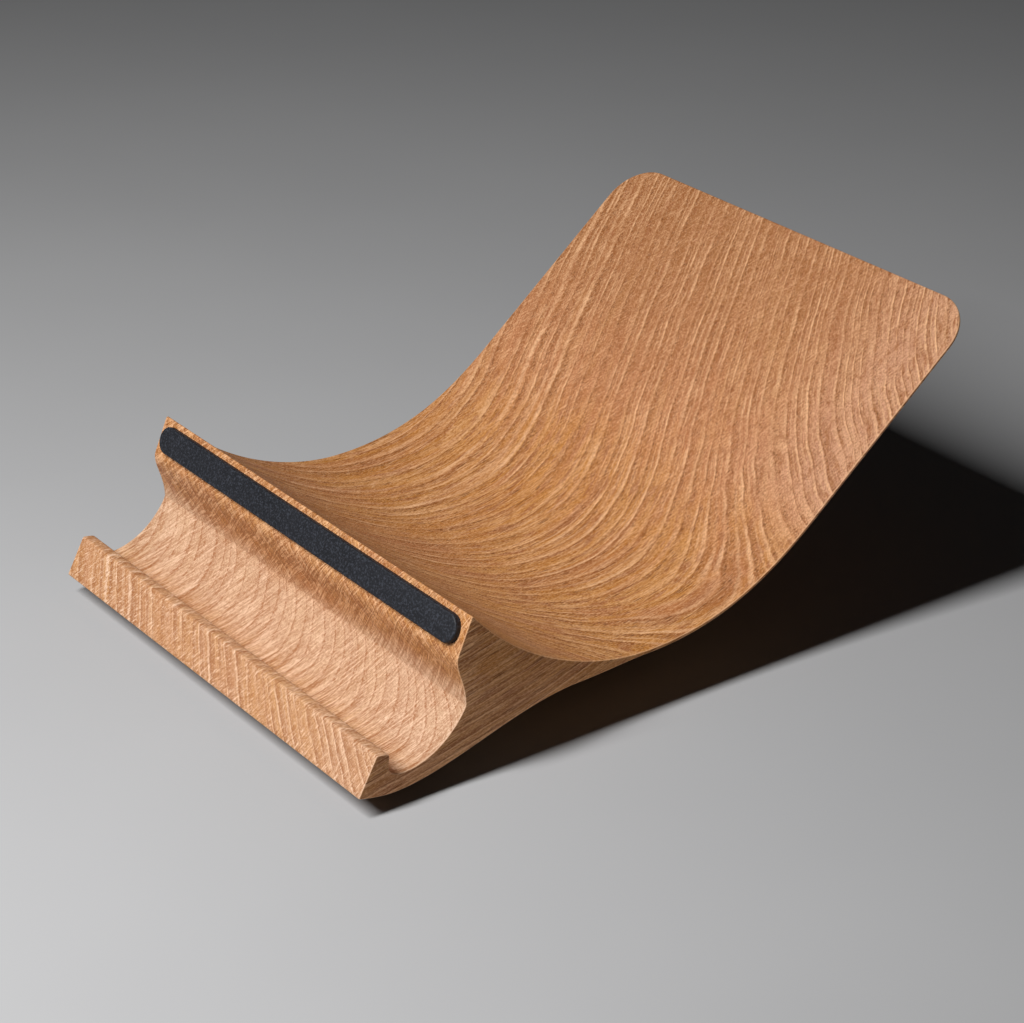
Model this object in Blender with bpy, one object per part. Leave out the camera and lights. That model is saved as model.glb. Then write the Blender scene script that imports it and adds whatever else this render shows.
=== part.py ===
"""Tablet stand milled from one block of oak, with silicone grip and foot strips.

The section is constant across the width: a low lip, a round groove for the
tablet's edge, a ridge whose sloping front carries the grip strip, and a back
plate that sweeps up to the rear. Below, the block is bevelled from a narrow
sole in the middle up to thin edges at both sides and at the rear.

Lengths are in millimetres. Y runs from the lip to the rear, X across, Z up,
and the stand rests on Z = 0 with its box centred on the origin.
"""

import math

import bmesh
import bpy
import numpy as np
from mathutils import Matrix, Vector

MM = 0.001
GAP = 0.3                        # clearance between pieces that touch

WIDTH = 130.0
HALF = WIDTH / 2
CURVE_STEPS = 12                 # points on a long curve

# Lip and groove
LIP_FOOT = (0.0, 5.4)            # front bottom edge of the lip
LIP_FRONT = (4.75, 14.1)          # top of the lip's sloping front
LIP_CREST = (5.4, 14.5)
LIP_BACK = (8.3, 13.0)           # top of the lip's inner wall
GROOVE_CORNER = (8.1, 10.6)
GROOVE_FLOOR = (11.4, 8.1)
GROOVE_WALL = (28.5, 19.2)       # deepest point of the groove's rear wall

# Ridge
NECK = (26.3, 30.6)
FACE_FOOT = (27.2, 33.2)         # lower end of the flat face under the strip
RIDGE = (30.45, 40.65)
RIDGE_BACK = (31.15, 40.25)
RIDGE_BACK_FALL = 51.4           # degrees below level

# Back plate
TROUGH = (79.8, 16.0)
KNEE = (131.5, 37.3)             # from here up the plate is straight
PLATE_RISE = 39.4                # degrees above level
PLATE_STRAIGHT = 60.6
EDGE = 0.8                       # thickness of the plate's edges
CORNER_R = 11.5                  # rear corners, seen square on

# Underside
BELLY = (9.4, 3.9)               # lowest point of the side edge
HAUNCH = (61.0, 14.3)            # where the side edge levels out
SOLE_Z = 1.0
FRONT_REST = 15.0                # Y of the two lines that the stand rests on
REAR_REST = 92.0
ARCH = (50.0, 2.6)               # top of the shallow arch between them
HEEL = (140.0, 37.2)             # from here the plate tapers to its rear edge
SOLE_SHARE = 0.45                # part of the half width that stays level
BEVEL_POWER = 1.5
BEVEL_STEPS = 9

# Grip strip on the ridge's front face
GRIP_LENGTH = 126.0
GRIP_WIDTH = 6.8
GRIP_PROUD = 1.5
GRIP_BELOW_RIDGE = 5.05          # ridge edge to the strip's middle line
GRIP_SET_IN = 0.4
TAPE_THICK = 0.4
TAPE_MARGIN = 0.5

# Foot strips in the sole
FOOT_LENGTH = 56.0
FOOT_WIDTH = 8.0
FOOT_THICK = 1.2


def bezier(start, pull_start, pull_end, end, steps=CURVE_STEPS):
    """Points along a cubic curve after its start."""
    s = np.linspace(0.0, 1.0, steps + 1)[1:, None]
    a, b, c, d = (np.array(p, float) for p in (start, pull_start, pull_end, end))
    curve = (1 - s) ** 3 * a + 3 * (1 - s) ** 2 * s * b
    curve += 3 * (1 - s) * s ** 2 * c + s ** 3 * d
    return [tuple(p) for p in curve]


def along(point, degrees, distance):
    """The point a distance away from another, at an angle above level."""
    turn = math.radians(degrees)
    return point[0] + distance * math.cos(turn), point[1] + distance * math.sin(turn)


PLATE_END = along(KNEE, PLATE_RISE, PLATE_STRAIGHT)
PLATE_TIP = along(PLATE_END, PLATE_RISE - 90.0, EDGE)
Y_SHIFT = -PLATE_TIP[0] / 2      # centres the box on the origin


def plate_curve(drop):
    """The plate from its trough to its rear edge, lowered squarely by a distance."""
    trough = (TROUGH[0], TROUGH[1] - drop)
    knee = along(KNEE, PLATE_RISE - 90.0, drop)
    end = along(PLATE_END, PLATE_RISE - 90.0, drop)
    trough_pull = (trough[0] + 25.8, trough[1])
    knee_pull = along(knee, PLATE_RISE, -15.0)
    return bezier(trough, trough_pull, knee_pull, knee) + [end]


def top_outline():
    """From just above the lip's foot, over lip, groove and ridge, to the rear edge."""
    ridge_pull = along(RIDGE_BACK, -RIDGE_BACK_FALL, 21.3)
    outline = [LIP_FRONT]
    outline += bezier(LIP_FRONT, (4.87, 14.32), (5.1, 14.5), LIP_CREST, 3)
    outline += bezier(LIP_CREST, (7.6, 14.25), (8.45, 13.95), LIP_BACK, 4)
    outline.append(GROOVE_CORNER)
    outline += bezier(GROOVE_CORNER, (8.0, 9.2), (9.4, 8.1), GROOVE_FLOOR, 5)
    outline += bezier(GROOVE_FLOOR, (22.6, 8.1), (28.5, 18.4), GROOVE_WALL, 14)
    outline += bezier(GROOVE_WALL, (28.5, 24.6), (26.3, 27.2), NECK, 8)
    outline += bezier(NECK, (26.3, 31.4), (26.75, 32.2), FACE_FOOT, 3)
    outline += [RIDGE, RIDGE_BACK]
    outline += bezier(RIDGE_BACK, ridge_pull, (TROUGH[0] - 15.3, TROUGH[1]), TROUGH)
    return outline + plate_curve(0.0)


def side_edge():
    """Lower outline of the flat sides, from the lip's foot to the rear edge."""
    haunch_end = (TROUGH[0], TROUGH[1] - EDGE)
    edge = [LIP_FOOT]
    edge += bezier(LIP_FOOT, (3.0, 4.7), (6.2, 3.9), BELLY, 4)
    edge += bezier(BELLY, (25.0, 3.9), (42.5, 14.3), HAUNCH)
    edge += bezier(HAUNCH, (68.0, 14.4), (74.0, 15.2), haunch_end, 4)
    return edge + plate_curve(EDGE)


def keel_heights(reaches):
    """Height of the underside along the middle of the stand."""
    line = [LIP_FOOT]
    line += bezier(LIP_FOOT, (4.0, 3.2), (9.0, SOLE_Z), (FRONT_REST, SOLE_Z))
    line += bezier(line[-1], (27.0, SOLE_Z), (38.0, ARCH[1]), ARCH)
    line += bezier(ARCH, (62.0, ARCH[1]), (80.0, SOLE_Z), (REAR_REST, SOLE_Z))
    line += bezier(line[-1], (112.0, SOLE_Z), (125.5, 23.0), HEEL)
    line.append(PLATE_TIP)
    known = np.array(line)
    return np.interp(reaches, known[:, 0], known[:, 1])


def bevel_share(x):
    """1 over the level sole, falling smoothly to 0 at a side."""
    beyond = max(0.0, (abs(x) / HALF - SOLE_SHARE) / (1 - SOLE_SHARE))
    return 1 - beyond ** BEVEL_POWER


def clear_scene():
    for thing in list(bpy.data.objects):
        bpy.data.objects.remove(thing, do_unlink=True)


def make_material(name, colour, roughness, metallic=0.0):
    material = bpy.data.materials.new(name)
    material.use_nodes = True
    shader = material.node_tree.nodes["Principled BSDF"]
    shader.inputs["Base Color"].default_value = (*colour, 1.0)
    shader.inputs["Roughness"].default_value = roughness
    shader.inputs["Metallic"].default_value = metallic
    return material


def new_object(name, mesh_tools, material=None):
    """Turns a bmesh in millimetres into an object in metres."""
    mesh_tools.transform(Matrix.Translation((0, Y_SHIFT, 0)))
    mesh_tools.transform(Matrix.Scale(MM, 4))
    bmesh.ops.recalc_face_normals(mesh_tools, faces=mesh_tools.faces)
    mesh = bpy.data.meshes.new(name)
    mesh_tools.to_mesh(mesh)
    mesh_tools.free()
    thing = bpy.data.objects.new(name, mesh)
    bpy.context.collection.objects.link(thing)
    if material:
        mesh.materials.append(material)
        mesh.shade_smooth()
        mesh.set_sharp_from_angle(angle=math.radians(30))
    return thing


def make_block(material):
    """The oak block with its section on top and the bevelled sole below."""
    bevel_start = SOLE_SHARE * HALF
    rising = [float(x) for x in np.linspace(bevel_start, HALF, BEVEL_STEPS + 1)]
    stations = [-x for x in reversed(rising)] + rising
    tools = bmesh.new()

    edge = side_edge()
    keel = keel_heights([y for y, z in edge])
    underside = []
    for x in stations:
        share = bevel_share(x)
        heights = [z - share * max(0.0, z - low) for (y, z), low in zip(edge, keel)]
        underside.append([tools.verts.new((x, y, z)) for (y, _), z in zip(edge, heights)])
    for left, right in zip(underside, underside[1:]):
        for i in range(len(edge) - 1):
            tools.faces.new((left[i], left[i + 1], right[i + 1], right[i]))

    top = top_outline()
    left_top = [tools.verts.new((-HALF, y, z)) for y, z in top]
    right_top = [tools.verts.new((HALF, y, z)) for y, z in top]
    for i in range(len(top) - 1):
        tools.faces.new((left_top[i], left_top[i + 1], right_top[i + 1], right_top[i]))
    foot_row = [line[0] for line in underside]
    rear_row = [line[-1] for line in underside]
    tools.faces.new(foot_row + [right_top[0], left_top[0]])
    tools.faces.new(rear_row + [right_top[-1], left_top[-1]])
    tools.faces.new(underside[0] + left_top[::-1])
    tools.faces.new(underside[-1] + right_top[::-1])
    return new_object("oak_body", tools, material)


def stadium(length, width, steps=10):
    """Outline of a strip with round ends, in its own plane."""
    radius = width / 2
    reach = length / 2 - radius
    outline = []
    for side in (1, -1):
        for i in range(steps + 1):
            turn = math.pi * (i / steps - 0.5)
            outline.append((side * (reach + radius * math.cos(turn)), side * radius * math.sin(turn)))
    return outline


def slab(outline, low, high):
    """A flat outline extruded from one height to another."""
    tools = bmesh.new()
    base = tools.faces.new([tools.verts.new((x, y, low)) for x, y in outline])
    raised = bmesh.ops.extrude_face_region(tools, geom=[base])["geom"]
    verts = [v for v in raised if isinstance(v, bmesh.types.BMVert)]
    bmesh.ops.translate(tools, verts=verts, vec=(0, 0, high - low))
    return tools


def grip_frame():
    """Places the grip's plane on the ridge face: X across, Y up the face, Z out of it."""
    rise = Vector((0, RIDGE[0] - FACE_FOOT[0], RIDGE[1] - FACE_FOOT[1])).normalized()
    across = Vector((1, 0, 0))
    outward = across.cross(rise)
    middle = Vector((0, *RIDGE)) - rise * GRIP_BELOW_RIDGE
    turned = Matrix((across, rise, outward)).transposed().to_4x4()
    return Matrix.Translation(middle) @ turned


def plate_frame():
    """Places a plane on the plate's top at its rear edge: Y up the slope, Z out of it."""
    turned = Matrix.Rotation(math.radians(PLATE_RISE), 4, "X")
    return Matrix.Translation((0, *PLATE_END)) @ turned


def foot_frame(reach):
    """Places a plane on the ground under the sole."""
    return Matrix.Translation((0, reach, 0))


def placed(tools, frame):
    tools.transform(frame)
    return tools


def carve(block, cutter):
    """Cuts one shape out of the block."""
    cutter.hide_render = True
    cutter.display_type = "WIRE"
    cut = block.modifiers.new(cutter.name, "BOOLEAN")
    cut.operation = "DIFFERENCE"
    cut.solver = "EXACT"
    cut.object = cutter


def corner_waste(side):
    """What is cut away outside one round rear corner."""
    beyond = 3.0
    centre_x = HALF - CORNER_R
    outline = [(HALF + beyond, -CORNER_R), (HALF + beyond, beyond), (centre_x, beyond)]
    for i in range(13):
        turn = math.pi / 2 * (1 - i / 12)
        outline.append((centre_x + CORNER_R * math.cos(turn), CORNER_R * (math.sin(turn) - 1)))
    mirrored = [(side * x, y) for x, y in outline]
    return placed(slab(mirrored, -12.0, 6.0), plate_frame())


def make_grip(block, rubber, tape):
    """The strip that the tablet leans on, its tape, and the recess they sit in."""
    frame = grip_frame()
    tape_top = -GRIP_SET_IN - GAP
    floor = tape_top - TAPE_THICK - GAP
    recess_outline = stadium(GRIP_LENGTH + 2 * GAP, GRIP_WIDTH + 2 * GAP)
    recess = new_object("grip_recess_cutter", placed(slab(recess_outline, floor, 3.0), frame))
    carve(block, recess)
    strip = slab(stadium(GRIP_LENGTH, GRIP_WIDTH), -GRIP_SET_IN, GRIP_PROUD)
    new_object("grip_strip", placed(strip, frame), rubber)
    tape_outline = stadium(GRIP_LENGTH - 2 * TAPE_MARGIN, GRIP_WIDTH - 2 * TAPE_MARGIN)
    film = slab(tape_outline, tape_top - TAPE_THICK, tape_top)
    new_object("grip_strip_tape", placed(film, frame), tape)


def make_foot(block, name, reach, rubber, tape):
    """A foot strip, its tape, and the pocket they sit in."""
    frame = foot_frame(reach)
    tape_low = FOOT_THICK + GAP
    ceiling = tape_low + TAPE_THICK + GAP
    pocket_outline = stadium(FOOT_LENGTH + 2 * GAP, FOOT_WIDTH + 2 * GAP)
    pocket = new_object(name + "_pocket_cutter", placed(slab(pocket_outline, -2.0, ceiling), frame))
    carve(block, pocket)
    strip = slab(stadium(FOOT_LENGTH, FOOT_WIDTH), 0.0, FOOT_THICK)
    new_object(name, placed(strip, frame), rubber)
    tape_outline = stadium(FOOT_LENGTH - 2 * TAPE_MARGIN, FOOT_WIDTH - 2 * TAPE_MARGIN)
    film = slab(tape_outline, tape_low, tape_low + TAPE_THICK)
    new_object(name + "_tape", placed(film, frame), tape)


def main():
    clear_scene()
    oak = make_material("oak", (0.58, 0.30, 0.12), 0.5)
    rubber = make_material("silicone", (0.03, 0.035, 0.045), 0.6)
    tape = make_material("adhesive_film", (0.75, 0.75, 0.7), 0.4)
    block = make_block(oak)
    for name, side in (("left_corner_cutter", -1), ("right_corner_cutter", 1)):
        carve(block, new_object(name, corner_waste(side)))
    make_grip(block, rubber, tape)
    make_foot(block, "front_foot_strip", FRONT_REST, rubber, tape)
    make_foot(block, "rear_foot_strip", REAR_REST, rubber, tape)


main()
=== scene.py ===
"""Looks for the oak tablet stand: fine meshes, procedural materials, light and camera.

The oak body, the grip strip and the foot strips are rebuilt here with rounded
arrises at the size of their CAD nodes. Lengths are in millimetres until a mesh
is finished. Y is measured from the lip's foot, as in the CAD source, and then
moved to where the frame has the body.
"""

import math
from types import SimpleNamespace

import bmesh
import bpy
import numpy as np
from mathutils import Matrix, Vector


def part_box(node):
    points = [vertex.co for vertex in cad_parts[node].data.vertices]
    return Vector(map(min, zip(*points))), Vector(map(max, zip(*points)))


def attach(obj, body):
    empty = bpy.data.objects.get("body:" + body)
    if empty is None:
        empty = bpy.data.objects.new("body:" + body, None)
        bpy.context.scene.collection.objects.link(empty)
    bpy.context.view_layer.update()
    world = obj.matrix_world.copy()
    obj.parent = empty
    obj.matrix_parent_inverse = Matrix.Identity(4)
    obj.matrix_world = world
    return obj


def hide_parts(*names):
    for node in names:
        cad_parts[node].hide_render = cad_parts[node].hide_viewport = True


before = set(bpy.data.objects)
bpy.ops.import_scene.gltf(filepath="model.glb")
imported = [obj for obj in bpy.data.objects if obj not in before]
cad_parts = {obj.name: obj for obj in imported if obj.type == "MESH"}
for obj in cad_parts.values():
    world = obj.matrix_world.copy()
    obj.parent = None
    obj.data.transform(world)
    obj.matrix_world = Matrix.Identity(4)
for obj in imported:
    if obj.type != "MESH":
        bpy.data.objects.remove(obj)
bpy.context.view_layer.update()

MM = 0.001

WIDTH = 130.0
HALF = WIDTH / 2

# Section, as in the CAD source
LIP_FOOT = (0.0, 5.4)
LIP_FRONT = (4.75, 14.1)
LIP_CREST = (5.4, 14.5)
LIP_BACK = (8.3, 13.0)
GROOVE_CORNER = (8.1, 10.6)
GROOVE_FLOOR = (11.4, 8.1)
GROOVE_WALL = (28.5, 19.2)
NECK = (26.3, 30.6)
FACE_FOOT = (27.2, 33.2)
RIDGE = (30.45, 40.65)
RIDGE_BACK = (31.15, 40.25)
RIDGE_BACK_FALL = 51.4
RIDGE_BACK_PULL = 21.3
TROUGH = (79.8, 16.0)
TROUGH_FRONT_PULL = 15.3
TROUGH_REAR_PULL = 25.8
KNEE = (131.5, 37.3)
KNEE_PULL = 15.0
PLATE_RISE = 39.4
PLATE_STRAIGHT = 60.6
EDGE = 0.8
CORNER_R = 11.5

# Underside, as in the CAD source
BELLY = (9.4, 3.9)
HAUNCH = (61.0, 14.3)
SOLE_Z = 1.0
FRONT_REST = 15.0
REAR_REST = 92.0
ARCH = (50.0, 2.6)
HEEL = (140.0, 37.2)
SOLE_SHARE = 0.45
BEVEL_POWER = 1.5

# Rounding of the arrises
SIDE_ROUND = 0.3
FOOT_ROUND = 0.32
RIDGE_ROUND = 0.4
ROUND_STEPS = 5
SHARP_ANGLE = math.radians(35)

# Spacing of the body's grid
LONG_CURVE_STEPS = 44
GROOVE_STEPS = 36
KEEL_STEPS = 24
STATIONS_ACROSS = 43
PLATE_SPACING = 1.5
CORNER_SPACING = 1.5

# Grip strip, foot strips and the recesses that hold them
GRIP_LENGTH = 126.0
GRIP_WIDTH = 6.8
GRIP_PROUD = 1.5
GRIP_BELOW_RIDGE = 5.05
GRIP_SET_IN = 0.4
GRIP_RIM = 0.45
RECESS_DEPTH = 1.4
RECESS_MARGIN = 0.04
FOOT_LENGTH = 56.0
FOOT_WIDTH = 8.0
FOOT_THICK = 1.2
FOOT_RIM = 0.35
POCKET_TOP = 2.2
ROUND_END_STEPS = 24
RIM_STEPS = 6
CUTTER_ABOVE_FACE = 3.0
CUTTER_BELOW_SOLE = 2.0


def bezier(start, pull_start, pull_end, end, steps):
    """Points along a cubic curve after its start."""
    s = np.linspace(0.0, 1.0, steps + 1)[1:, None]
    a, b, c, d = (np.array(p, float) for p in (start, pull_start, pull_end, end))
    curve = (1 - s) ** 3 * a + 3 * (1 - s) ** 2 * s * b
    curve += 3 * (1 - s) * s ** 2 * c + s ** 3 * d
    return [tuple(p) for p in curve]


def along(point, degrees, distance):
    """The point a distance away from another, at an angle above level."""
    turn = math.radians(degrees)
    return point[0] + distance * math.cos(turn), point[1] + distance * math.sin(turn)


PLATE_END = along(KNEE, PLATE_RISE, PLATE_STRAIGHT)
PLATE_TIP = along(PLATE_END, PLATE_RISE - 90.0, EDGE)


def rounded(before, corner, after, radius):
    """Points of the arc that rounds a corner between two straight runs."""
    corner, before, after = (np.array(p, float) for p in (corner, before, after))
    back = (before - corner) / np.linalg.norm(before - corner)
    ahead = (after - corner) / np.linalg.norm(after - corner)
    half_turn = math.acos(float(np.clip(back @ ahead, -1, 1))) / 2
    reach = radius / math.tan(half_turn)
    bisector = (back + ahead) / np.linalg.norm(back + ahead)
    centre = corner + bisector * radius / math.sin(half_turn)
    first = corner + back * reach - centre
    last = corner + ahead * reach - centre
    sweep = math.pi - 2 * half_turn
    points = []
    for i in range(ROUND_STEPS + 1):
        share = i / ROUND_STEPS
        mixed = first * math.sin((1 - share) * sweep) + last * math.sin(share * sweep)
        points.append(tuple(centre + mixed / math.sin(sweep)))
    return points


def straight(start, end, spacing):
    """Points along a straight run after its start, no further apart than a spacing."""
    steps = max(1, math.ceil(math.dist(start, end) / spacing))
    start, run = np.array(start), np.array(end) - np.array(start)
    return [tuple(start + run * i / steps) for i in range(1, steps + 1)]


def plate_rows(drop):
    """The plate from its trough to the start of its round corners, lowered squarely."""
    trough = (TROUGH[0], TROUGH[1] - drop)
    knee = along(KNEE, PLATE_RISE - 90.0, drop)
    trough_pull = (trough[0] + TROUGH_REAR_PULL, trough[1])
    knee_pull = along(knee, PLATE_RISE, -KNEE_PULL)
    corner_start = along(knee, PLATE_RISE, PLATE_STRAIGHT - CORNER_R)
    bend = bezier(trough, trough_pull, knee_pull, knee, LONG_CURVE_STEPS)
    return bend + straight(knee, corner_start, PLATE_SPACING)


def top_rows():
    """From the lip's foot, over lip, groove and ridge, to where the round corners start."""
    back_pull = along(RIDGE_BACK, -RIDGE_BACK_FALL, RIDGE_BACK_PULL)
    trough_pull = (TROUGH[0] - TROUGH_FRONT_PULL, TROUGH[1])
    foot = rounded(BELLY, LIP_FOOT, LIP_FRONT, FOOT_ROUND)
    rows = foot + straight(foot[-1], LIP_FRONT, 0.8)
    rows += bezier(LIP_FRONT, (4.87, 14.32), (5.1, 14.5), LIP_CREST, 8)
    rows += bezier(LIP_CREST, (7.6, 14.25), (8.45, 13.95), LIP_BACK, 10)
    rows += straight(LIP_BACK, GROOVE_CORNER, 0.6)
    rows += bezier(GROOVE_CORNER, (8.0, 9.2), (9.4, 8.1), GROOVE_FLOOR, 10)
    rows += bezier(GROOVE_FLOOR, (22.6, 8.1), (28.5, 18.4), GROOVE_WALL, GROOVE_STEPS)
    rows += bezier(GROOVE_WALL, (28.5, 24.6), (26.3, 27.2), NECK, 16)
    rows += bezier(NECK, (26.3, 31.4), (26.75, 32.2), FACE_FOOT, 6)
    crest = rounded(FACE_FOOT, RIDGE, back_pull, RIDGE_ROUND)
    rows += straight(FACE_FOOT, crest[0], 0.9) + crest[1:]
    rows += bezier(crest[-1], back_pull, trough_pull, TROUGH, LONG_CURVE_STEPS)
    return rows + plate_rows(0.0)


def bottom_rows():
    """Lower outline of the sides, from the lip's foot to where the round corners start."""
    haunch_end = (TROUGH[0], TROUGH[1] - EDGE)
    foot = rounded(BELLY, LIP_FOOT, LIP_FRONT, FOOT_ROUND)[0]
    rows = [foot] + bezier(foot, (3.0, 4.7), (6.2, 3.9), BELLY, 10)
    rows += bezier(BELLY, (25.0, 3.9), (42.5, 14.3), HAUNCH, GROOVE_STEPS)
    rows += bezier(HAUNCH, (68.0, 14.4), (74.0, 15.2), haunch_end, 12)
    return rows + plate_rows(EDGE)


def keel_heights(reaches):
    """Height of the underside along the middle of the stand."""
    line = [LIP_FOOT]
    line += bezier(LIP_FOOT, (4.0, 3.2), (9.0, SOLE_Z), (FRONT_REST, SOLE_Z), KEEL_STEPS)
    line += bezier(line[-1], (27.0, SOLE_Z), (38.0, ARCH[1]), ARCH, KEEL_STEPS)
    line += bezier(ARCH, (62.0, ARCH[1]), (80.0, SOLE_Z), (REAR_REST, SOLE_Z), KEEL_STEPS)
    line += bezier(line[-1], (112.0, SOLE_Z), (125.5, 23.0), HEEL, KEEL_STEPS)
    line.append(PLATE_TIP)
    known = np.array(line)
    return np.interp(reaches, known[:, 0], known[:, 1])


def bevel_share(x):
    """1 over the level sole, falling smoothly to 0 at a side."""
    beyond = max(0.0, (abs(x) / HALF - SOLE_SHARE) / (1 - SOLE_SHARE))
    return 1 - beyond ** BEVEL_POWER


def graded(limit, coarse):
    """Places from 0 to a limit: close together within the rounding, coarser beyond it."""
    quarter = math.pi / 2
    near = [SIDE_ROUND * (1 - math.cos(quarter * i / ROUND_STEPS)) for i in range(ROUND_STEPS)]
    steps = math.ceil((limit - SIDE_ROUND) / coarse)
    far = [SIDE_ROUND + (limit - SIDE_ROUND) * i / steps for i in range(1, steps + 1)]
    return near + [SIDE_ROUND] + far


def sink(depth):
    """How far a surface drops at a distance from its rounded edge."""
    if depth >= SIDE_ROUND:
        return 0.0
    return SIDE_ROUND - math.sqrt(max(0.0, SIDE_ROUND ** 2 - (SIDE_ROUND - depth) ** 2))


def turned_corner(x, beyond):
    """Moves a grid point in a rear corner's square onto the corner's quarter circle."""
    a = (abs(x) - (HALF - CORNER_R)) / CORNER_R
    b = beyond / CORNER_R
    if a <= 0 or b <= 0:
        return x, beyond, min(HALF - abs(x), CORNER_R - beyond)
    radius = max(a, b)
    turn = math.pi / 4 * (b / a if a > b else 2 - a / b)
    new_x = HALF - CORNER_R + CORNER_R * radius * math.cos(turn)
    return math.copysign(new_x, x), CORNER_R * radius * math.sin(turn), CORNER_R * (1 - radius)


def outline_normals(rows):
    """Unit normals of an open outline, on its left as it runs."""
    points = np.array(rows)
    tangents = np.gradient(points, axis=0)
    tangents /= np.linalg.norm(tangents, axis=1)[:, None]
    return np.stack([-tangents[:, 1], tangents[:, 0]], axis=1)


def sheet_points(rows, stations, corner_steps, below):
    """A grid of points over the top, or over the underside, with rounded edges."""
    normals = outline_normals(rows)
    keel = keel_heights([y for y, z in rows])
    lines = []
    for x in stations:
        line = []
        for (y, z), normal, low in zip(rows, normals, keel):
            drop = sink(HALF - abs(x))
            if below:
                z -= bevel_share(x) * max(0.0, z - low)
                line.append((x, y + normal[0] * drop, z + normal[1] * drop))
            else:
                line.append((x, y - normal[0] * drop, z - normal[1] * drop))
        start = rows[-1]
        for beyond in corner_steps:
            turned_x, turned_reach, depth = turned_corner(x, beyond)
            y, z = along(start, PLATE_RISE, turned_reach)
            drop = sink(depth)
            if below:
                z -= bevel_share(turned_x) * max(0.0, z - keel_heights([y])[0])
                drop = -drop
            y, z = along((y, z), PLATE_RISE - 90.0, drop)
            line.append((turned_x, y, z))
        lines.append(line)
    return lines


def clean_mesh(name, tools, material):
    """Turns a bmesh in millimetres into an object in metres, shaded smooth."""
    tools.transform(Matrix.Translation((0, lip_y, 0)) @ Matrix.Scale(MM, 4))
    bmesh.ops.recalc_face_normals(tools, faces=tools.faces)
    mesh = bpy.data.meshes.new(name)
    tools.to_mesh(mesh)
    tools.free()
    mesh.materials.append(material)
    mesh.shade_smooth()
    mesh.set_sharp_from_angle(angle=SHARP_ANGLE)
    thing = bpy.data.objects.new(name, mesh)
    bpy.context.collection.objects.link(thing)
    return thing


def make_body_mesh():
    """The oak block as two sheets, top and underside, joined by its rim."""
    edge_places = graded(CORNER_R, CORNER_SPACING)
    middle = np.linspace(-(HALF - CORNER_R), HALF - CORNER_R, STATIONS_ACROSS + 2)[1:-1]
    left = [-HALF + place for place in edge_places]
    stations = left + [float(x) for x in middle] + [-x for x in reversed(left)]
    corner_steps = [CORNER_R - place for place in reversed(edge_places)][1:]
    top = top_rows()
    bottom = bottom_rows()
    top_lines = sheet_points(top, stations, corner_steps, below=False)
    bottom_lines = sheet_points(bottom, stations, corner_steps, below=True)
    tools = bmesh.new()
    top_grid = [[tools.verts.new(p) for p in line] for line in top_lines]
    bottom_grid = []
    for line, upper in zip(bottom_lines, top_grid):
        bottom_grid.append([upper[0]] + [tools.verts.new(p) for p in line[1:]])
    for grid in (top_grid, bottom_grid):
        for first, second in zip(grid, grid[1:]):
            for i in range(len(first) - 1):
                tools.faces.new((first[i], first[i + 1], second[i + 1], second[i]))
    for upper, lower in ((top_grid[0], bottom_grid[0]), (top_grid[-1], bottom_grid[-1])):
        tools.faces.new(lower[:len(bottom)] + upper[1:len(top)][::-1])
        for i in range(len(corner_steps)):
            a, b = len(top) - 1 + i, len(bottom) - 1 + i
            tools.faces.new((upper[a], upper[a + 1], lower[b + 1], lower[b]))
    top_edge = [line[-1] for line in top_grid]
    bottom_edge = [line[-1] for line in bottom_grid]
    for k in range(len(stations) - 1):
        tools.faces.new((top_edge[k], top_edge[k + 1], bottom_edge[k + 1], bottom_edge[k]))
    return tools


def stadium(length, width, margin=0.0):
    """Outline of a strip with round ends, in its own plane, with a margin all round."""
    radius = (width + 2 * margin) / 2
    reach = (length + 2 * margin) / 2 - radius
    outline = []
    for side in (1, -1):
        for i in range(ROUND_END_STEPS + 1):
            turn = math.pi * (i / ROUND_END_STEPS - 0.5)
            x = side * (reach + radius * math.cos(turn))
            y = side * radius * math.sin(turn)
            outline.append((x, y))
    return outline


def slab(outline, low, high):
    """A flat outline extruded from one height to another."""
    tools = bmesh.new()
    base = tools.faces.new([tools.verts.new((x, y, low)) for x, y in outline])
    raised = bmesh.ops.extrude_face_region(tools, geom=[base])["geom"]
    verts = [v for v in raised if isinstance(v, bmesh.types.BMVert)]
    bmesh.ops.translate(tools, verts=verts, vec=(0, 0, high - low))
    return tools


def soften_rim(tools, height, radius):
    """Rounds the edge around a slab's face at one height."""
    rim = [e for e in tools.edges if all(abs(v.co.z - height) < 1e-5 for v in e.verts)]
    bmesh.ops.bevel(tools, geom=rim, offset=radius, segments=RIM_STEPS, profile=0.5, affect="EDGES")


def grip_frame():
    """Places the grip's plane on the ridge face: X across, Y up the face, Z out of it."""
    rise = Vector((0, RIDGE[0] - FACE_FOOT[0], RIDGE[1] - FACE_FOOT[1])).normalized()
    across = Vector((1, 0, 0))
    outward = across.cross(rise)
    middle = Vector((0, *RIDGE)) - rise * GRIP_BELOW_RIDGE
    turned = Matrix((across, rise, outward)).transposed().to_4x4()
    return Matrix.Translation(middle) @ turned


def carve(block, name, tools):
    """Cuts one shape out of the block for good."""
    cutter = clean_mesh(name, tools, block.data.materials[0])
    cut = block.modifiers.new(name, "BOOLEAN")
    cut.operation = "DIFFERENCE"
    cut.solver = "EXACT"
    cut.object = cutter
    evaluated = block.evaluated_get(bpy.context.evaluated_depsgraph_get())
    carved = bpy.data.meshes.new_from_object(evaluated)
    block.modifiers.remove(cut)
    block.data = carved
    bpy.data.objects.remove(cutter, do_unlink=True)


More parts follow.
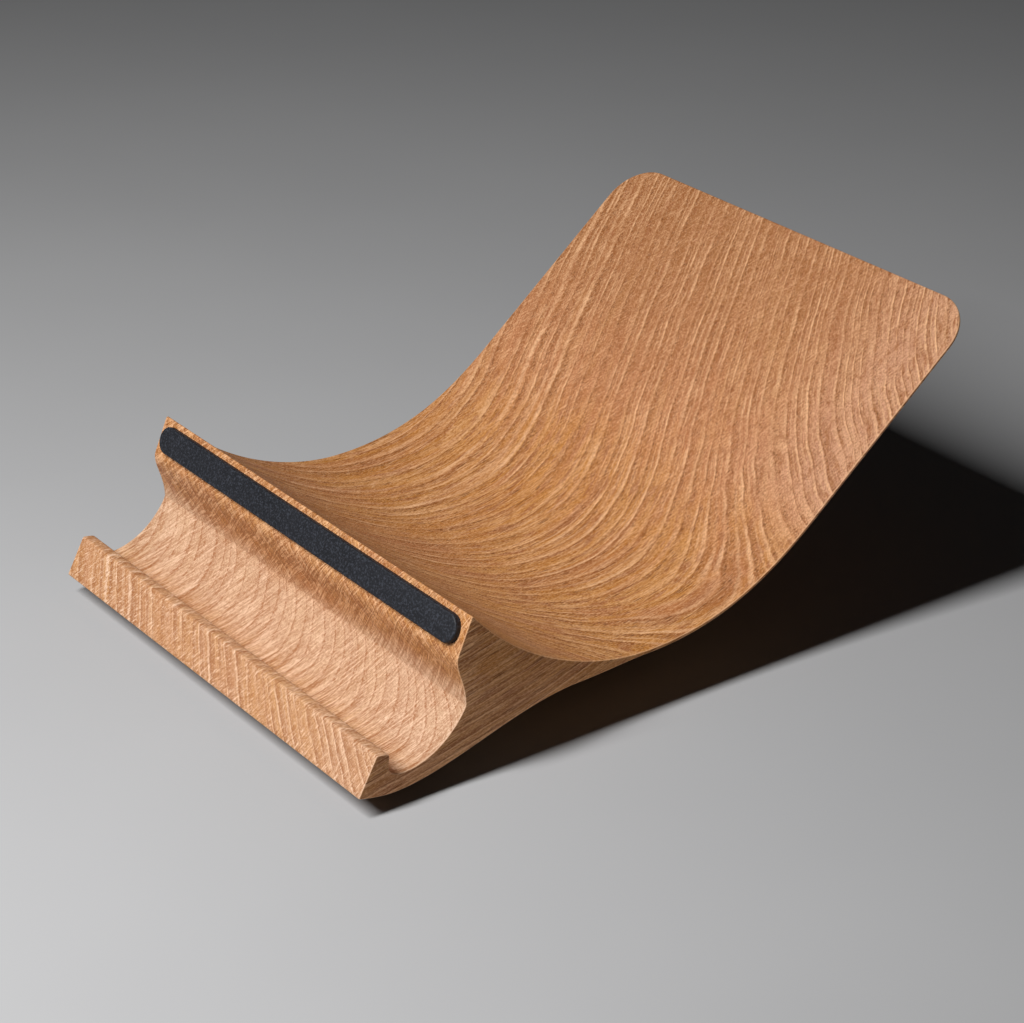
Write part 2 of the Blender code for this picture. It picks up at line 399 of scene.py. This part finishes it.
def make_body(material):
    """The oak block with its recess and pockets, in place of the CAD body."""
    block = clean_mesh("oak_stand", make_body_mesh(), material)
    grip_outline = stadium(GRIP_LENGTH, GRIP_WIDTH, RECESS_MARGIN)
    recess = slab(grip_outline, -RECESS_DEPTH, CUTTER_ABOVE_FACE)
    recess.transform(grip_frame())
    carve(block, "recess", recess)
    foot_outline = stadium(FOOT_LENGTH, FOOT_WIDTH, RECESS_MARGIN)
    for reach in (FRONT_REST, REAR_REST):
        pocket = slab(foot_outline, -CUTTER_BELOW_SOLE, POCKET_TOP)
        pocket.transform(Matrix.Translation((0, reach, 0)))
        carve(block, "pocket", pocket)
    block.data.shade_smooth()
    block.data.set_sharp_from_angle(angle=SHARP_ANGLE)
    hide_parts("oak_body")
    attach(block, "root")
    return block


def make_grip(material):
    """The soft strip on the ridge's front face."""
    strip = slab(stadium(GRIP_LENGTH, GRIP_WIDTH), -GRIP_SET_IN, GRIP_PROUD)
    soften_rim(strip, GRIP_PROUD, GRIP_RIM)
    strip.transform(grip_frame())
    thing = clean_mesh("grip_pad", strip, material)
    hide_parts("grip_strip")
    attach(thing, "root")
    return thing


def make_foot(name, node, reach, material):
    """A soft strip in one of the sole's pockets, centred at a distance from the lip's foot."""
    strip = slab(stadium(FOOT_LENGTH, FOOT_WIDTH), 0.0, FOOT_THICK)
    soften_rim(strip, 0.0, FOOT_RIM)
    strip.transform(Matrix.Translation((0, reach, 0)))
    thing = clean_mesh(name, strip, material)
    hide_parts(node)
    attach(thing, "root")
    return thing


# ---------------------------------------------------------------- materials

class Graph:
    """Short calls that add nodes to a material and link them."""

    def __init__(self, name):
        self.material = bpy.data.materials.new(name)
        self.material.use_nodes = True
        self.tree = self.material.node_tree
        self.shader = self.tree.nodes["Principled BSDF"]

    def put(self, value, socket):
        if isinstance(value, bpy.types.NodeSocket):
            self.tree.links.new(value, socket)
        else:
            socket.default_value = value

    def node(self, kind, **settings):
        added = self.tree.nodes.new(kind)
        for key, value in settings.items():
            setattr(added, key, value)
        return added

    def math(self, operation, *values):
        added = self.node("ShaderNodeMath", operation=operation)
        for value, socket in zip(values, added.inputs):
            self.put(value, socket)
        return added.outputs[0]

    def times(self, first, second):
        return self.math("MULTIPLY", first, second)

    def vector(self, operation, *values):
        added = self.node("ShaderNodeVectorMath", operation=operation)
        for value, socket in zip(values, added.inputs):
            self.put(value, socket)
        return added.outputs["Vector"]

    def joined(self, x, y, z):
        added = self.node("ShaderNodeCombineXYZ")
        for value, socket in zip((x, y, z), added.inputs):
            self.put(value, socket)
        return added.outputs[0]

    def parts(self, vector):
        added = self.node("ShaderNodeSeparateXYZ")
        self.put(vector, added.inputs[0])
        return added.outputs

    def noise(self, vector, scale=1.0, detail=2.0, roughness=0.5, output="Fac"):
        added = self.node("ShaderNodeTexNoise")
        self.put(vector, added.inputs["Vector"])
        added.inputs["Scale"].default_value = scale
        added.inputs["Detail"].default_value = detail
        added.inputs["Roughness"].default_value = roughness
        return added.outputs[output]

    def in_cells(self, place, cell, **settings):
        """Noise in cells that have a length along each axis of a place."""
        return self.noise(self.vector("DIVIDE", place, cell), **settings)

    def ramp(self, value, low, high, out_low=0.0, out_high=1.0, ease="SMOOTHSTEP"):
        """Runs from out_low at low to out_high at high, and stays level beyond them."""
        added = self.node("ShaderNodeMapRange", interpolation_type=ease)
        for item, socket in zip((value, low, high, out_low, out_high), added.inputs):
            self.put(item, socket)
        return added.outputs[0]

    def near(self, value, centre, reach):
        """1 where a value is at a centre, falling to 0 at a reach from it."""
        return self.ramp(self.math("ABSOLUTE", self.math("SUBTRACT", value, centre)), reach, 0.0)

    def mix(self, factor, first, second):
        added = self.node("ShaderNodeMix", data_type="RGBA")
        colours = [socket for socket in added.inputs if socket.type == "RGBA"]
        self.put(factor, added.inputs["Factor"])
        self.put(first, colours[0])
        self.put(second, colours[1])
        return [socket for socket in added.outputs if socket.type == "RGBA"][0]

    def bump(self, height, strength, depth):
        """Relief for the shader, with its depth in metres."""
        added = self.node("ShaderNodeBump")
        added.inputs["Strength"].default_value = strength
        added.inputs["Distance"].default_value = depth
        self.put(height, added.inputs["Height"])
        self.put(added.outputs[0], self.shader.inputs["Normal"])


def colour(red, green, blue):
    return (red, green, blue, 1.0)


# The tree's centre line runs above the stand's right side and rises to the rear
PITH = (149.0, 90.0, 201.0)      # Y is measured from the lip's foot
FIBRE_RISE = 12.4                # degrees
CORE_RADIUS = 105.0              # the rings are even in the log of the distance from this core
RINGS_PER_LOG = 45.0
RAY_RADIUS = 225.0               # where a length around the pith is measured

# How far the rings stray from their circles, and from their places in the row of years
WIDE_WOBBLE = 2.5
SMALL_WOBBLE = 1.5
UNEVEN_YEARS = 2.6
UNEVEN_EVERY = 7.0
RAGGED_YEARS = 0.16

# Beside a knot outside the block, the rings swerve towards the right side
SWERVE_X = 34.3
SWERVE_Y = 110.0
SWERVE_SOFTNESS = 3.4
SWERVE_REACH = 39.0
SWERVE_SLOPE = 0.22

# Cells of the wood's noises: across, along the fibres, across
WIDE_WOBBLE_CELL = (55.0, 140.0, 55.0)
SMALL_WOBBLE_CELL = (10.0, 26.0, 10.0)
CLOUD_CELL = (38.0, 90.0, 38.0)
BROKEN_CELL = (7.0, 22.0, 7.0)
PATCH_CELL = (2.2, 14.0, 2.2)
RAGGED_CELL = (0.7, 2.4, 0.7)
SPECK_CELL = (0.26, 0.7, 0.26)
FIBRE_CELL = (0.2, 6.0, 0.2)
PORE_CELL = (0.55, 7.0, 0.55)
FINE_PORE_CELL = (0.32, 4.0, 0.32)

# Cells that follow the rings: out from the pith, along the fibres, around the pith
SWATH_CELL = (6.5, 55.0, 45.0)
BAND_CELL = (2.6, 28.0, 14.0)
FLECK_CELL = (0.9, 7.0, 4.0)
GRAIN_CELL = (0.5, 30.0, 12.0)
RAY_CELL = (1.8, 9.0, 0.3)
BROAD_RAY_CELL = (16.0, 14.0, 1.6)
SHEET_CELL = (11.0, 18.0, 0.75)

# Spans, in millimetres, over which a zone of the wood's tone or figure comes in
FRONT_HEIGHT = (30.0, 23.0)
FRONT_REACH = (60.0, 34.0)
GROOVE_REACH = (7.0, 12.0)
HOLLOW_REACH = (13.0, 19.0)
BLOND_REACH = (3.0, 9.0)
NECK_HEIGHT = (16.0, 21.0)
NECK_REACH = (33.0, 30.0)
PLATE_HEIGHT = (28.0, 44.0)
PLATE_REACH = (88.0, 106.0)
RIGHT_ACROSS = (22.0, 62.0)
LEFT_ACROSS = (60.0, -30.0)
# Where the painted shade towards the rear and the rear left comes in
REAR_LEFT_REACH = (115.0, 180.0)
REAR_REACH = (130.0, 175.0)
REAR_ACROSS = (60.0, 25.0)
BORDER_RAGGED = 10.0             # how far a border between tones strays

# Shares that the lines and tones take of what lies under them
LIGHT_LINE_SHARE = 0.78
FRONT_LIGHT_LINE_SHARE = 0.8
DARK_BAND_SHARE = 0.3
LIP_DARK_BAND_MORE = 0.25
DARK_LINE_SHARE = 0.68
PLATE_HATCHING = 0.12
GROOVE_HATCHING = 0.62
NECK_HATCHING = 0.85
RAY_SHARE = 0.32
LIP_RAY_MORE = 0.45
BROAD_RAY_SHARE = 0.3
FINE_PORE_SHARE = 0.5
PORE_SHARE = 0.75
ARRIS_HIGHLIGHT_SHARE = 0.55
REAR_LEFT_SHADE_SHARE = 0.74
RIGHT_SHARE = 0.46

# Ground tones of the oak
GOLDEN = colour(0.492, 0.193, 0.029)
ROSY = colour(0.505, 0.197, 0.082)
RED = colour(0.42, 0.150, 0.056)
HONEY = colour(0.62, 0.315, 0.12)
SHADE_BROWN = colour(0.30, 0.11, 0.03)
RUST = colour(0.32, 0.105, 0.035)
ASHEN = colour(0.66, 0.39, 0.275)
LIP_BLOND = colour(0.60, 0.355, 0.18)
GROOVE_BLOND = colour(0.64, 0.45, 0.30)

# Dark and light tones of its lines, on the plate and at the front
DEEP = colour(0.25, 0.08, 0.016)
FRONT_DEEP = colour(0.31, 0.112, 0.034)
PLATE_PORE = colour(0.13, 0.042, 0.01)
PALE = colour(0.84, 0.49, 0.265)
FRONT_PALE = colour(0.82, 0.56, 0.385)

# Tones of the other materials and of the room's light
SILICONE_DARK = colour(0.005, 0.006, 0.009)
SILICONE_WORN = colour(0.008, 0.009, 0.013)
SILICONE_GRAIN = colour(0.036, 0.041, 0.055)
TAPE_THICK = colour(0.62, 0.6, 0.53)
TAPE_THIN = colour(0.78, 0.77, 0.72)
FLOOR_DARK = colour(0.185, 0.185, 0.187)
FLOOR_LIGHT = colour(0.202, 0.202, 0.204)
STUDIO_TINT = colour(0.9, 0.95, 1.0)

# Cells per metre in the other materials
SILICONE_GRAIN_SCALE = 1900.0
SILICONE_CLOUD_SCALE = 60.0
TAPE_SCALE = (900.0, 2600.0, 900.0)
FLOOR_SCALE = 9.0


def section_place(g):
    """Place in millimetres, with Y from the lip's foot."""
    metres = g.vector("SUBTRACT", g.node("ShaderNodeTexCoord").outputs["Object"], (0.0, lip_y, 0.0))
    place = g.vector("SCALE", metres)
    place.node.inputs["Scale"].default_value = 1.0 / MM
    return place


def wood_place(g, place):
    """The same place seen from the pith, with Y along the fibres."""
    turned = g.node("ShaderNodeVectorRotate", rotation_type="X_AXIS")
    g.put(g.vector("SUBTRACT", place, PITH), turned.inputs["Vector"])
    turned.inputs["Angle"].default_value = -math.radians(FIBRE_RISE)
    return turned.outputs[0]


def wobble(g, place, cell, reach):
    """Shifts a place across the fibres by a smooth random amount."""
    random = g.in_cells(place, cell, detail=1.0, output="Color")
    shift = g.vector("SUBTRACT", random, (0.5, 0.5, 0.5))
    return g.vector("MULTIPLY_ADD", shift, (reach, 0.0, reach), place)


def tubes(g, place, cell, core, rim):
    """Long thin cells: 1 inside a cell's core, 0 beyond its rim."""
    voronoi = g.node("ShaderNodeTexVoronoi", feature="F1")
    g.put(g.vector("DIVIDE", place, cell), voronoi.inputs["Vector"])
    voronoi.inputs["Scale"].default_value = 1.0
    return g.ramp(voronoi.outputs["Distance"], rim, core)


def swerve(g, place):
    """How strongly the rings swerve: nothing on the left, and most near the right side."""
    across, reach = g.parts(place)[:2]
    beyond = g.math("DIVIDE", g.math("SUBTRACT", across, SWERVE_X), SWERVE_SOFTNESS)
    soft_step = g.math("LOGARITHM", g.math("ADD", g.math("EXPONENT", beyond), 1.0), math.e)
    away = g.math("DIVIDE", g.math("SUBTRACT", reach, SWERVE_Y), SWERVE_REACH)
    fade = g.math("EXPONENT", g.times(g.times(away, away), -1.0))
    return g.times(soft_step, fade)


def ring_place(g, place, wood):
    """Distance out from the pith, place along the fibres and distance around the pith."""
    bent = wobble(g, wood, WIDE_WOBBLE_CELL, WIDE_WOBBLE)
    bent = wobble(g, bent, SMALL_WOBBLE_CELL, SMALL_WOBBLE)
    x, along_fibre, z = g.parts(bent)
    around = g.times(g.math("ARCTAN2", x, g.times(z, -1.0)), RAY_RADIUS)
    radius = g.math("SQRT", g.math("ADD", g.times(x, x), g.times(z, z)))
    radius = g.math("MULTIPLY_ADD", swerve(g, place), SWERVE_SLOPE * SWERVE_SOFTNESS, radius)
    return g.joined(radius, along_fibre, around)


def year_rings(g, radius, wood):
    """Light line, soft dark band and thin dark line of each year, as three masks."""
    uneven = g.noise(g.joined(g.math("DIVIDE", radius, UNEVEN_EVERY), 3.3, 0.0), detail=1.0)
    outward = g.math("LOGARITHM", g.math("SUBTRACT", radius, CORE_RADIUS), math.e)
    years = g.times(outward, RINGS_PER_LOG)
    years = g.math("MULTIPLY_ADD", uneven, UNEVEN_YEARS, years)
    ragged = g.in_cells(wood, RAGGED_CELL, detail=1.0)
    years = g.math("MULTIPLY_ADD", ragged, RAGGED_YEARS, years)
    season = g.math("FRACT", years)
    chance_node = g.node("ShaderNodeTexWhiteNoise", noise_dimensions="1D")
    g.put(g.math("FLOOR", years), chance_node.inputs["W"])
    chance = chance_node.outputs["Value"]
    # A season runs from 0 to 1 in each year. It starts with a light line, and some
    # years have a fainter second one
    early = g.times(g.ramp(season, 0.0, 0.07), g.ramp(season, 0.3, 0.1))
    early = g.times(early, g.ramp(chance, 0.0, 0.8, 0.35, 1.0, ease="LINEAR"))
    second = g.times(g.ramp(season, 0.46, 0.52), g.ramp(season, 0.66, 0.56))
    second = g.times(second, g.ramp(chance, 0.3, 0.7, 0.0, 0.6))
    dark_band = g.times(g.ramp(season, 0.3, 0.9), g.ramp(season, 1.0, 0.97))
    dark_line = g.times(g.ramp(season, 0.82, 0.92), g.ramp(season, 1.0, 0.98))
    return g.math("MAXIMUM", early, second), dark_band, dark_line


def oak_zones(g, place, cloud):
    """Masks of the places where the wood's tone or figure changes."""
    across, reach, height = g.parts(place)
    facing = g.node("ShaderNodeNewGeometry").outputs["Normal"]
    zone = SimpleNamespace()
    sideways = g.math("ABSOLUTE", g.parts(facing)[0])
    # Painted highlight: a pale line on the rounded arrises, where the surface turns partly sideways
    zone.arris = g.times(g.ramp(sideways, 0.1, 0.4), g.ramp(sideways, 0.97, 0.8))
    # The tones meet along a ragged border, and the sides have little of the front's
    border = g.math("MULTIPLY_ADD", cloud, BORDER_RAGGED, height)
    zone.front = g.times(g.ramp(border, *FRONT_HEIGHT), g.ramp(reach, *FRONT_REACH))
    zone.front = g.times(zone.front, g.ramp(sideways, 0.7, 0.95, 1.0, 0.15))
    zone.groove = g.times(zone.front, g.ramp(reach, *GROOVE_REACH))
    zone.lip = g.math("SUBTRACT", zone.front, zone.groove)
    zone.neck = g.times(g.ramp(height, *NECK_HEIGHT), g.ramp(reach, *NECK_REACH))
    zone.plate = g.times(g.ramp(border, *PLATE_HEIGHT), g.ramp(reach, *PLATE_REACH))
    plate_or_front = g.math("MAXIMUM", zone.plate, zone.front)
    zone.right = g.times(g.ramp(across, *RIGHT_ACROSS), plate_or_front)
    # Painted shade: the plate is darkened towards the rear and the rear left, where the light falls
    # off
    toward_left = g.ramp(across, *LEFT_ACROSS)
    zone.rear_left = g.times(toward_left, g.ramp(reach, *REAR_LEFT_REACH))
    toward_rear = g.ramp(reach, *REAR_REACH, 0.0, 0.55)
    zone.rear = g.times(toward_rear, g.ramp(across, *REAR_ACROSS, 0.4, 1.0))
    zone.blond = g.times(zone.front, g.ramp(reach, *BLOND_REACH, 0.36, 0.7))
    zone.hollow = g.ramp(reach, *HOLLOW_REACH)
    return zone


def oak_figure(g, ringwise, wood, zone):
    """Masks of the wood's rings, pores, rays and fibres."""
    radius = g.parts(ringwise)[0]
    figure = SimpleNamespace()
    light_line, figure.dark_band, dark_line = year_rings(g, radius, wood)

    # The rings come and go along their length, are faint in the groove and thin at the front
    broken = g.in_cells(wood, BROKEN_CELL)
    fainter = g.ramp(zone.groove, 0.0, 1.0, 1.0, 0.55)
    figure.strength = g.times(g.ramp(broken, 0.34, 0.62, 0.4, 1.15), fainter)
    figure.patchy = g.in_cells(wood, PATCH_CELL)
    thinner = g.math("SUBTRACT", g.ramp(light_line, 0.3, 0.8), light_line)
    light_line = g.math("MULTIPLY_ADD", thinner, zone.front, light_line)
    light_line = g.times(light_line, g.ramp(figure.patchy, 0.25, 0.6, 0.4, 1.0))
    figure.light_line = g.times(light_line, figure.strength)
    figure.dark_line = g.times(dark_line, g.math("MAXIMUM", figure.strength, zone.groove))

    # Pores are thin tubes along the fibres, crowded in the dark bands
    crowd = g.ramp(figure.dark_band, 0.0, 1.0, 0.2, 1.0, ease="LINEAR")
    figure.pore = g.times(tubes(g, wood, PORE_CELL, 0.16, 0.34), crowd)
    fine_pore = tubes(g, wood, FINE_PORE_CELL, 0.12, 0.34)
    figure.fine_pore = g.times(fine_pore, g.ramp(figure.light_line, 0.0, 1.0, 0.8, 0.2))

    # Streaks follow the rings, and rays are thin sheets that run out from the pith
    figure.swath = g.in_cells(ringwise, SWATH_CELL)
    figure.band = g.in_cells(ringwise, BAND_CELL)
    figure.fleck = g.in_cells(ringwise, FLECK_CELL)
    figure.grain = g.in_cells(ringwise, GRAIN_CELL, roughness=0.6)
    figure.ray = g.in_cells(ringwise, RAY_CELL, detail=1.0, roughness=0.6)
    figure.broad_ray = g.near(g.in_cells(ringwise, BROAD_RAY_CELL, detail=0.0), 0.5, 0.018)
    sheet = g.in_cells(ringwise, SHEET_CELL, detail=1.0)
    figure.dark_hair = g.near(sheet, 0.44, 0.1)
    figure.light_hair = g.near(sheet, 0.58, 0.08)
    figure.fibre = g.in_cells(wood, FIBRE_CELL, detail=1.0, roughness=0.6)
    figure.speck = g.in_cells(wood, SPECK_CELL, detail=0.0)
    return figure


def oak_ground(g, cloud, zone, figure):
    """Ground tone: golden in the trough, rosy up the plate, blond under groove and lip."""
    base = g.mix(zone.plate, GOLDEN, ROSY)
    base = g.mix(g.ramp(cloud, 0.42, 0.66, 0.0, 0.55), base, RED)
    base = g.mix(g.ramp(figure.swath, 0.5, 0.68, 0.0, 0.6), base, RED)
    base = g.mix(g.ramp(figure.swath, 0.48, 0.32, 0.0, 0.4), base, HONEY)
    base = g.mix(g.ramp(figure.band, 0.5, 0.7, 0.0, 0.78), base, RED)
    base = g.mix(g.ramp(figure.band, 0.5, 0.3, 0.0, 0.4), base, HONEY)
    # Painted shade: brown towards the rear and the rear left, where the light falls off
    base = g.mix(zone.rear, base, SHADE_BROWN)
    base = g.mix(g.times(zone.rear_left, REAR_LEFT_SHADE_SHARE), base, SHADE_BROWN)
    base = g.mix(g.times(zone.right, RIGHT_SHARE), base, ASHEN)
    return g.mix(zone.blond, base, g.mix(zone.hollow, LIP_BLOND, GROOVE_BLOND))


def oak_lines(g, base, zone, figure):
    """Lays the dark and the light figure over the ground tone."""
    deep = g.mix(zone.front, DEEP, FRONT_DEEP)
    pale = g.mix(zone.front, PALE, FRONT_PALE)

    # Rings and the streaks beside them
    strength = figure.strength
    base = g.mix(g.times(g.ramp(figure.grain, 0.5, 0.25, 0.0, 0.6), strength), base, deep)
    base = g.mix(g.times(g.ramp(figure.grain, 0.5, 0.75, 0.0, 0.55), strength), base, pale)
    few_at_front = g.ramp(zone.front, 0.0, 1.0, 1.0, 0.3)
    base = g.mix(g.times(g.ramp(figure.fleck, 0.52, 0.68, 0.0, 0.85), few_at_front), base, RUST)
    lined = g.ramp(zone.front, 0.0, 1.0, LIGHT_LINE_SHARE, FRONT_LIGHT_LINE_SHARE)
    base = g.mix(g.times(figure.light_line, lined), base, pale)
    banded = g.math("MULTIPLY_ADD", zone.lip, LIP_DARK_BAND_MORE, DARK_BAND_SHARE)
    base = g.mix(g.times(g.times(figure.dark_band, strength), banded), base, deep)
    base = g.mix(g.times(figure.dark_line, DARK_LINE_SHARE), base, deep)

    # The edges of ray sheets show as fine hatching in the groove and on the neck
    in_groove = g.ramp(zone.groove, 0.0, 1.0, PLATE_HATCHING, GROOVE_HATCHING)
    hatched = g.math("MAXIMUM", in_groove, g.times(zone.neck, NECK_HATCHING))
    hatched = g.times(g.ramp(figure.patchy, 0.3, 0.6, 0.3, 1.0), hatched)
    base = g.mix(g.times(figure.dark_hair, hatched), base, deep)
    base = g.mix(g.times(figure.light_hair, hatched), base, pale)

    # Fibres and specks
    base = g.mix(g.ramp(figure.fibre, 0.5, 0.3, 0.0, 0.45), base, deep)
    base = g.mix(g.ramp(figure.fibre, 0.5, 0.7, 0.0, 0.3), base, pale)
    base = g.mix(g.ramp(figure.speck, 0.5, 0.25, 0.0, 0.35), base, deep)
    base = g.mix(g.ramp(figure.speck, 0.5, 0.75, 0.0, 0.3), base, pale)

    # Rays and pores
    crossed = g.math("MULTIPLY_ADD", zone.lip, LIP_RAY_MORE, RAY_SHARE)
    base = g.mix(g.times(g.ramp(figure.ray, 0.44, 0.26), crossed), base, deep)
    base = g.mix(g.times(g.ramp(figure.ray, 0.56, 0.72), crossed), base, pale)
    base = g.mix(g.times(figure.broad_ray, BROAD_RAY_SHARE), base, deep)
    base = g.mix(g.times(figure.fine_pore, FINE_PORE_SHARE), base, deep)
    pore_tone = g.mix(zone.front, PLATE_PORE, deep)
    base = g.mix(g.times(figure.pore, PORE_SHARE), base, pore_tone)

    # Painted highlight: the arrises along both sides are made paler, as if they catch a thin line
    # of light
    return g.mix(g.times(zone.arris, ARRIS_HIGHLIGHT_SHARE), base, pale)


def oak():
    g = Graph("oiled_oak")
    place = section_place(g)
    wood = wood_place(g, place)
    ringwise = ring_place(g, place, wood)
    cloud = g.in_cells(wood, CLOUD_CELL)
    zone = oak_zones(g, place, cloud)
    figure = oak_figure(g, ringwise, wood, zone)
    ground_tone = oak_ground(g, cloud, zone, figure)
    g.put(oak_lines(g, ground_tone, zone, figure), g.shader.inputs["Base Color"])

    rough = g.ramp(figure.fibre, 0.3, 0.7, 0.5, 0.64)
    rough = g.math("MULTIPLY_ADD", figure.pore, 0.2, rough)
    rough = g.math("MULTIPLY_ADD", zone.arris, -0.12, rough)
    g.put(rough, g.shader.inputs["Roughness"])
    g.shader.inputs["Specular IOR Level"].default_value = 0.3

    open_pores = g.math("MAXIMUM", figure.pore, g.times(figure.fine_pore, 0.5))
    relief = g.math("MULTIPLY_ADD", figure.fibre, 0.5, g.times(open_pores, -1.0))
    relief = g.math("MULTIPLY_ADD", figure.light_line, 0.15, relief)
    g.bump(relief, strength=0.5, depth=0.00012)
    return g.material


def silicone():
    g = Graph("matt_silicone")
    place = g.node("ShaderNodeTexCoord").outputs["Object"]
    grain = g.noise(place, scale=SILICONE_GRAIN_SCALE, detail=3.0, roughness=0.6)
    cloud = g.noise(place, scale=SILICONE_CLOUD_SCALE)
    base = g.mix(g.ramp(cloud, 0.3, 0.7), SILICONE_DARK, SILICONE_WORN)
    base = g.mix(g.ramp(grain, 0.48, 0.68, 0.0, 0.8), base, SILICONE_GRAIN)
    g.put(base, g.shader.inputs["Base Color"])
    g.put(g.ramp(grain, 0.3, 0.7, 0.5, 0.68), g.shader.inputs["Roughness"])
    g.shader.inputs["Specular IOR Level"].default_value = 0.36
    g.bump(grain, strength=0.7, depth=0.0001)
    return g.material


def film():
    g = Graph("tape_film")
    place = g.node("ShaderNodeTexCoord").outputs["Object"]
    stretched = g.vector("MULTIPLY", place, TAPE_SCALE)
    tissue = g.noise(stretched, detail=4.0, roughness=0.65)
    base = g.mix(g.ramp(tissue, 0.3, 0.7), TAPE_THICK, TAPE_THIN)
    g.put(base, g.shader.inputs["Base Color"])
    g.put(g.ramp(tissue, 0.3, 0.7, 0.3, 0.5), g.shader.inputs["Roughness"])
    g.bump(tissue, strength=0.3, depth=0.00005)
    return g.material


def ground():
    g = Graph("pale_floor")
    place = g.node("ShaderNodeTexCoord").outputs["Object"]
    cloud = g.noise(place, scale=FLOOR_SCALE, detail=3.0)
    g.put(g.mix(cloud, FLOOR_DARK, FLOOR_LIGHT), g.shader.inputs["Base Color"])
    g.shader.inputs["Roughness"].default_value = 0.75
    return g.material


# ---------------------------------------------------------------- stage

# Lengths on the stage are in metres, powers in watts and angles in degrees
FLOOR_HALF = 4.0
AIM = (0.0, 0.0, 0.03)
KEY_RISE = 49.0
KEY_SIDESTEP = 0.03
KEY_DISTANCE = 0.65
KEY_SIZE = (0.1, 0.34)
KEY_POWER = 5.4
FLOOR_KEY_SHARE = 2.2            # of the stand's key
CARD_DISTANCE = 0.9
CARD_HEIGHT = 0.06
CARD_SIZE = (0.5, 0.08)
CARD_TINT = (1.0, 0.83, 0.6)
RIGHT_CARD_POWER = 0.68
LEFT_CARD_POWER = 0.3
REAR_CARD_POWER = 0.3
STUDIO_GLOW = 0.018

CAMERA_PLACE = (0.50327, -0.28225, 0.33211)   # Y is measured from the lip's foot
CAMERA_FALL = 26.33
CAMERA_TURN = 53.59
CAMERA_LENS = 100.0                           # millimetres
CAMERA_SENSOR = 36.0


def add_light(name, place, power, size, receivers, tint=(1.0, 1.0, 1.0)):
    """A rectangular lamp that faces the stand and lights only one collection."""
    lamp = bpy.data.lights.new(name, "AREA")
    lamp.color = tint
    lamp.shape = "RECTANGLE"
    lamp.size, lamp.size_y = size
    lamp.energy = power
    thing = bpy.data.objects.new(name, lamp)
    thing.visible_camera = False
    thing.location = place
    thing.rotation_euler = (Vector(AIM) - Vector(place)).to_track_quat("-Z", "Y").to_euler()
    thing.light_linking.receiver_collection = receivers
    bpy.context.collection.objects.link(thing)


def lit_group(name, things):
    """A collection for lamps to light, kept out of the scene's own."""
    group = bpy.data.collections.new(name)
    for thing in things:
        group.objects.link(thing)
    return group


def make_floor():
    mesh = bpy.data.meshes.new("floor")
    side = FLOOR_HALF
    corners = [(-side, -side, 0), (side, -side, 0), (side, side, 0), (-side, side, 0)]
    mesh.from_pydata(corners, [], [(0, 1, 2, 3)])
    mesh.materials.append(ground())
    floor = bpy.data.objects.new("floor", mesh)
    bpy.context.collection.objects.link(floor)
    return floor


def make_light(floor, pieces):
    floor_only = lit_group("ground", [floor])
    stand = lit_group("stand", pieces)
    # The floor is darker than it looks and has a key of its own, so little light
    # bounces under the stand
    rise = math.radians(KEY_RISE)
    toward_key = Vector((KEY_SIDESTEP, -math.cos(rise), math.sin(rise)))
    key_place = Vector(AIM) + toward_key * KEY_DISTANCE
    add_light("key", key_place, KEY_POWER, KEY_SIZE, stand)
    add_light("floor_key", key_place, KEY_POWER * FLOOR_KEY_SHARE, KEY_SIZE, floor_only)
    # Low cards light the sides and the back, and leave the shadow on the floor dark
    right = (CARD_DISTANCE, 0.1, CARD_HEIGHT)
    left = (-CARD_DISTANCE, 0.0, CARD_HEIGHT)
    rear = (0.0, CARD_DISTANCE, CARD_HEIGHT)
    add_light("right_card", right, RIGHT_CARD_POWER, CARD_SIZE, stand, CARD_TINT)
    add_light("left_card", left, LEFT_CARD_POWER, CARD_SIZE, stand, CARD_TINT)
    add_light("rear_card", rear, REAR_CARD_POWER, CARD_SIZE, stand, CARD_TINT)
    world = bpy.data.worlds.new("studio")
    world.use_nodes = True
    background = world.node_tree.nodes["Background"]
    background.inputs["Color"].default_value = STUDIO_TINT
    background.inputs["Strength"].default_value = STUDIO_GLOW
    bpy.context.scene.world = world
    bpy.context.scene.view_settings.view_transform = "Standard"


def make_camera():
    view = bpy.data.cameras.new("view")
    view.lens = CAMERA_LENS
    view.sensor_width = CAMERA_SENSOR
    view.clip_start = 0.01
    camera = bpy.data.objects.new("view", view)
    x, y, z = CAMERA_PLACE
    camera.location = (x, lip_y + y, z)
    camera.rotation_euler = (math.radians(90 - CAMERA_FALL), 0.0, math.radians(CAMERA_TURN))
    bpy.context.collection.objects.link(camera)
    bpy.context.scene.camera = camera


lip_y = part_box("oak_body")[0].y
make_camera()
wood = oak()
rubber = silicone()
pieces = [
    make_body(wood),
    make_grip(rubber),
    make_foot("front_foot_pad", "front_foot_strip", FRONT_REST, rubber),
    make_foot("rear_foot_pad", "rear_foot_strip", REAR_REST, rubber),
]
tape = film()
for node in ("grip_strip_tape", "front_foot_strip_tape", "rear_foot_strip_tape"):
    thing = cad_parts[node]
    thing.data.materials.clear()
    thing.data.materials.append(tape)
    pieces.append(thing)
make_light(make_floor(), pieces)
